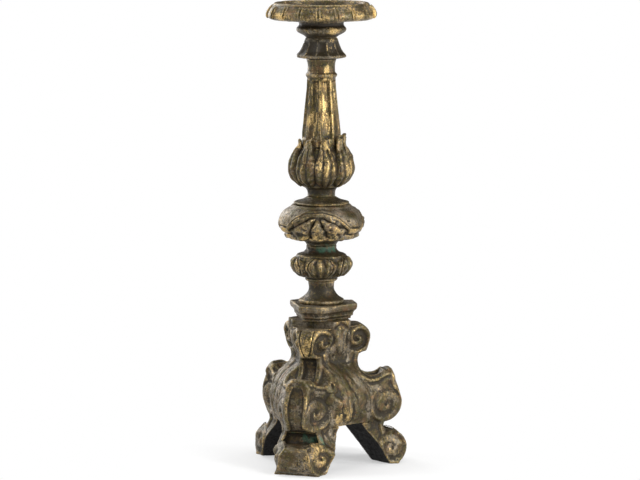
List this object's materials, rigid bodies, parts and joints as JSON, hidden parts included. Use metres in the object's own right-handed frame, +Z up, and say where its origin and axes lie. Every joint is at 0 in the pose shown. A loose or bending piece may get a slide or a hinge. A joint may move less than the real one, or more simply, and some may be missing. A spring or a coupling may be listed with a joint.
{
  "type": "torchere candle stand",
  "caption": "Tall bronze candle stand: round ribbed drip pan on a fluted, leaf-wrapped stem with carved knops, over a three-sided base on scroll legs.",
  "frame": {"origin": "where the stand's vertical axis meets the floor, midway between its three feet", "axes": "+Z up along the stem; the front leg points to -Y, and the back panel faces +Y"},
  "size_m": [0.213, 0.1851, 0.61],
  "materials": {
    "rubbed_bronze": "satin",
    "aged_bronze": "matte",
    "dark_bronze": "matte",
    "blacked_steel": "satin"
  },
  "bodies": {
    "root": {"drip_pan": "rubbed_bronze", "pan_collar": "aged_bronze", "bell_skirt": "aged_bronze", "fluted_column": "rubbed_bronze", "leaf_bulb": "rubbed_bronze", "flange_disc": "dark_bronze", "arched_knop": "aged_bronze", "lower_knop": "rubbed_bronze", "waist_spool": "dark_bronze", "abacus": "aged_bronze", "base_core": "aged_bronze", "leg_front": "rubbed_bronze", "leg_right": "rubbed_bronze", "leg_left": "rubbed_bronze", "leg_front_washer_upper": "blacked_steel", "leg_front_washer_lower": "blacked_steel", "leg_front_screw_upper": "blacked_steel", "leg_front_screw_lower": "blacked_steel", "leg_right_washer_upper": "blacked_steel", "leg_right_washer_lower": "blacked_steel", "leg_right_screw_upper": "blacked_steel", "leg_right_screw_lower": "blacked_steel", "leg_left_washer_upper": "blacked_steel", "leg_left_washer_lower": "blacked_steel", "leg_left_screw_upper": "blacked_steel", "leg_left_screw_lower": "blacked_steel", "base_washer": "blacked_steel", "base_nut": "blacked_steel", "pan_washer": "blacked_steel", "pan_nut": "blacked_steel", "tie_rod": "blacked_steel", "abacus_dowel": "blacked_steel"}
  },
  "joints": []
}
